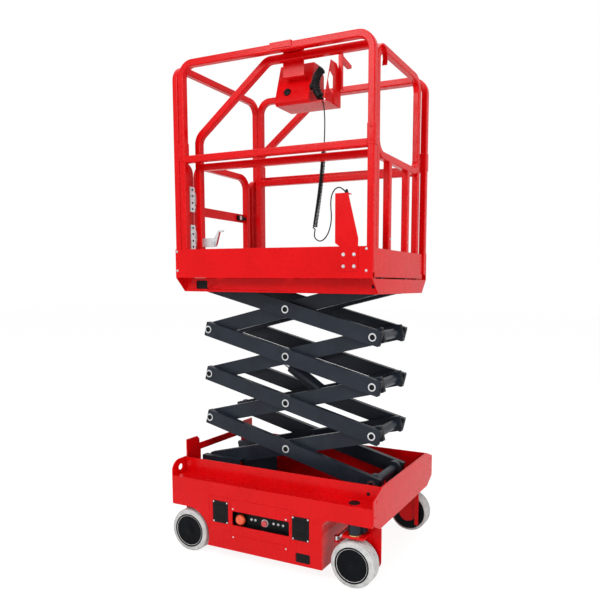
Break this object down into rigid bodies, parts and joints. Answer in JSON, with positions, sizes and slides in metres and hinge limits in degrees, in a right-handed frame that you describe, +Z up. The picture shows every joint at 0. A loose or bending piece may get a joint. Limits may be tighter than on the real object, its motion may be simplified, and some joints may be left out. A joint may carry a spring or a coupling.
{
  "type": "self-propelled scissor lift",
  "caption": "Small self-propelled scissor lift with a roll-out deck, guard rails with a swing gate, pinned scissor arms, a lift cylinder and steered wheels on a low chassis",
  "frame": {"origin": "on the floor under the middle of the machine", "axes": "+X towards the steered wheels, +Y to the far side from the ground controls, +Z up"},
  "size_m": [1.202, 0.864, 2.5735],
  "materials": {
    "red_paint": "glossy bright red paint",
    "dark_paint": "satin dark blue-grey paint",
    "steel": "bright zinc-plated steel",
    "chrome": "hard chrome",
    "deck_plate": "worn chequer plate",
    "black_plastic": "matt black plastic",
    "button_red": "glossy red plastic",
    "grey_tyre": "light grey non-marking rubber",
    "cord_black": "black cable sheath"
  },
  "bodies": {
    "chassis": {"tub": "red_paint", "side_pods": "red_paint", "front_plate": "red_paint", "rear_plate": "red_paint", "control_panel": "black_plastic", "panel_buttons": "button_red", "charge_socket": "black_plastic", "battery_pack": "black_plastic", "power_unit": "black_plastic", "scissor_base": "dark_paint", "rear_axles": "steel", "front_beam": "dark_paint"},
    "knuckle_near": {"knuckle_near": "red_paint"},
    "knuckle_far": {"knuckle_far": "red_paint"},
    "tie_rod": {"tie_rod": "steel"},
    "wheel_rear_near": {"tyre_rear_near": "grey_tyre", "hub_rear_near": "black_plastic"},
    "wheel_rear_far": {"tyre_rear_far": "grey_tyre", "hub_rear_far": "black_plastic"},
    "wheel_front_near": {"tyre_front_near": "grey_tyre", "hub_front_near": "black_plastic"},
    "wheel_front_far": {"tyre_front_far": "grey_tyre", "hub_front_far": "black_plastic"},
    "outer_1": {"outer_arms_1": "dark_paint", "outer_pins_1": "steel"},
    "inner_1": {"inner_arms_1": "dark_paint"},
    "outer_2": {"outer_arms_2": "dark_paint", "outer_pins_2": "steel"},
    "inner_2": {"inner_arms_2": "dark_paint"},
    "outer_3": {"outer_arms_3": "dark_paint", "outer_pins_3": "steel"},
    "inner_3": {"inner_arms_3": "dark_paint"},
    "outer_4": {"outer_arms_4": "dark_paint", "outer_pins_4": "steel"},
    "inner_4": {"inner_arms_4": "dark_paint"},
    "barrel": {"lift_barrel": "dark_paint"},
    "rod": {"lift_rod": "chrome"},
    "platform": {"platform_frame": "red_paint", "platform_tracks": "dark_paint", "deck_floor": "deck_plate", "toe_boards": "red_paint", "side_rails": "red_paint", "rear_rail": "red_paint", "gate_hinges": "steel", "control_box": "red_paint", "joystick": "black_plastic", "cable_bracket": "red_paint", "cord_curl": "cord_black", "cord_lead": "cord_black", "cord_loop": "cord_black"},
    "gate": {"gate": "red_paint"},
    "extension": {"extension_deck": "red_paint", "inner_rails": "red_paint", "front_rail": "red_paint", "foot_latch": "steel"}
  },
  "joints": [
    {"name": "lift", "type": "hinge", "parent": "chassis", "child": "outer_1", "pos_m": [0.47714, 0, 0.437], "axis": [0, 1, 0], "range_deg": [-8, 21.4]},
    {"name": "cross_1", "type": "hinge", "parent": "outer_1", "child": "inner_1", "pos_m": [-0.0245, 0, 0.56207], "axis": [0, 1, 0], "range_deg": [-42.9, 16.1]},
    {"name": "knee_1", "type": "hinge", "parent": "inner_1", "child": "outer_2", "pos_m": [0.47714, 0, 0.68715], "axis": [0, 1, 0], "range_deg": [-16.1, 42.9]},
    {"name": "cross_2", "type": "hinge", "parent": "outer_2", "child": "inner_2", "pos_m": [-0.0245, 0, 0.81222], "axis": [0, 1, 0], "range_deg": [-42.9, 16.1]},
    {"name": "knee_2", "type": "hinge", "parent": "inner_2", "child": "outer_3", "pos_m": [0.47714, 0, 0.93729], "axis": [0, 1, 0], "range_deg": [-16.1, 42.9]},
    {"name": "cross_3", "type": "hinge", "parent": "outer_3", "child": "inner_3", "pos_m": [-0.0245, 0, 1.06237], "axis": [0, 1, 0], "range_deg": [-42.9, 16.1]},
    {"name": "knee_3", "type": "hinge", "parent": "inner_3", "child": "outer_4", "pos_m": [0.47714, 0, 1.18744], "axis": [0, 1, 0], "range_deg": [-16.1, 42.9]},
    {"name": "cross_4", "type": "hinge", "parent": "outer_4", "child": "inner_4", "pos_m": [-0.0245, 0, 1.31252], "axis": [0, 1, 0], "range_deg": [-42.9, 16.1]},
    {"name": "level", "type": "hinge", "parent": "inner_4", "child": "platform", "pos_m": [0.47714, 0, 1.43759], "axis": [0, 1, 0], "range_deg": [-8.05, 21.45]},
    {"name": "barrel_tilt", "type": "hinge", "parent": "inner_2", "child": "barrel", "pos_m": [0.11596, 0, 0.84724], "axis": [0, 1, 0], "range_deg": [-20.04, 53.41]},
    {"name": "rod_slide", "type": "slide", "parent": "barrel", "child": "rod", "axis": [-0.8418, 0, 0.5397], "range_m": [-0.05336, 0.14106]},
    {"name": "gate_swing", "type": "hinge", "parent": "platform", "child": "gate", "pos_m": [-0.5615, -0.239, 1.79], "axis": [0, 0, -1], "range_deg": [0, 88]},
    {"name": "deck_roll_out", "type": "slide", "parent": "platform", "child": "extension", "axis": [1, 0, 0], "range_m": [0, 0.55]},
    {"name": "steer_near", "type": "hinge", "parent": "chassis", "child": "knuckle_near", "pos_m": [0.486, -0.388, 0.115], "axis": [0, 0, 1], "range_deg": [-25, 25]},
    {"name": "steer_far", "type": "hinge", "parent": "chassis", "child": "knuckle_far", "pos_m": [0.486, 0.388, 0.115], "axis": [0, 0, 1], "range_deg": [-25.05, 25.05]},
    {"name": "tie_turn", "type": "hinge", "parent": "knuckle_near", "child": "tie_rod", "pos_m": [0.376, -0.36, 0.2], "axis": [0, 0, 1], "range_deg": [-26.95, 26.95]},
    {"name": "spin_rear_near", "type": "hinge", "parent": "chassis", "child": "wheel_rear_near", "pos_m": [-0.486, -0.388, 0.115], "axis": [0, 1, 0], "continuous": true},
    {"name": "spin_rear_far", "type": "hinge", "parent": "chassis", "child": "wheel_rear_far", "pos_m": [-0.486, 0.388, 0.115], "axis": [0, 1, 0], "continuous": true},
    {"name": "spin_front_near", "type": "hinge", "parent": "knuckle_near", "child": "wheel_front_near", "pos_m": [0.486, -0.388, 0.115], "axis": [0, 1, 0], "continuous": true},
    {"name": "spin_front_far", "type": "hinge", "parent": "knuckle_far", "child": "wheel_front_far", "pos_m": [0.486, 0.388, 0.115], "axis": [0, 1, 0], "continuous": true}
  ],
  "couplings": [
    {"joint": "cross_1", "follows": "lift", "ratio": -2},
    {"joint": "knee_1", "follows": "lift", "ratio": 2},
    {"joint": "cross_2", "follows": "lift", "ratio": -2},
    {"joint": "knee_2", "follows": "lift", "ratio": 2},
    {"joint": "cross_3", "follows": "lift", "ratio": -2},
    {"joint": "knee_3", "follows": "lift", "ratio": 2},
    {"joint": "cross_4", "follows": "lift", "ratio": -2},
    {"joint": "level", "follows": "lift", "ratio": 1},
    {"joint": "barrel_tilt", "follows": "lift", "ratio": 2.49},
    {"joint": "rod_slide", "follows": "lift", "m_per_rad": 0.375},
    {"joint": "steer_far", "follows": "steer_near", "ratio": 1},
    {"joint": "tie_turn", "follows": "steer_near", "ratio": -1.075}
  ]
}
